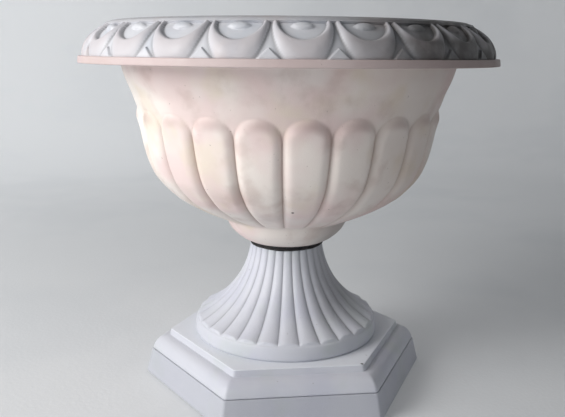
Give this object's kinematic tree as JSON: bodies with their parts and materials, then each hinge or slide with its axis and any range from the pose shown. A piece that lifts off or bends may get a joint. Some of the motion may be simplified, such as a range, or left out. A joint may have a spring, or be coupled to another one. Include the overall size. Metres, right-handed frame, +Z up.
{
  "type": "garden urn",
  "caption": "Footed garden urn: lobed bowl with a loose ornamented rim, standing in the socket of a reeded column on a hexagonal plinth.",
  "frame": {"origin": "on the ground at the centre of the plinth", "axes": "+Z up through column and bowl, +X through a corner of the hexagonal plinth, -Y through the flat side that faces the viewer"},
  "size_m": [0.45, 0.45, 0.4035],
  "materials": {
    "bowl_wash": "satin, pale cream with a pink and beige wash",
    "rim_white": "satin, cool off-white",
    "pedestal_white": "satin, cool off-white with a lilac tint",
    "black_rubber": "matte",
    "steel": "plain"
  },
  "bodies": {
    "pedestal": {"pedestal_column": "pedestal_white", "neck_sleeve": "pedestal_white", "plinth_cover": "pedestal_white", "plinth_base": "pedestal_white", "foot_pad_1": "black_rubber", "foot_pad_2": "black_rubber", "foot_pad_3": "black_rubber", "foot_pad_4": "black_rubber", "foot_pad_5": "black_rubber", "foot_pad_6": "black_rubber", "plinth_screw_1": "steel", "plinth_screw_2": "steel", "plinth_screw_3": "steel", "plinth_screw_4": "steel", "plinth_screw_5": "steel", "plinth_screw_6": "steel", "column_screw_1": "steel", "column_screw_2": "steel", "column_screw_3": "steel"},
    "seal": {"neck_seal": "black_rubber"},
    "bowl": {"bowl_shell": "bowl_wash"},
    "collar": {"rim_collar": "rim_white"},
    "plug": {"drain_plug": "black_rubber"}
  },
  "joints": [
    {"name": "bowl_turn", "type": "hinge", "parent": "pedestal", "child": "seal", "pos_m": [0, 0, 0.1567], "axis": [0, 0, 1], "continuous": true},
    {"name": "bowl_lift", "type": "slide", "parent": "seal", "child": "bowl", "axis": [0, 0, 1], "range_m": [0, 0.08]},
    {"name": "collar_lift", "type": "slide", "parent": "bowl", "child": "collar", "axis": [0, 0, 1], "range_m": [0, 0.06]},
    {"name": "plug_pull", "type": "slide", "parent": "bowl", "child": "plug", "axis": [0, 0, 1], "range_m": [0, 0.26]}
  ]
}
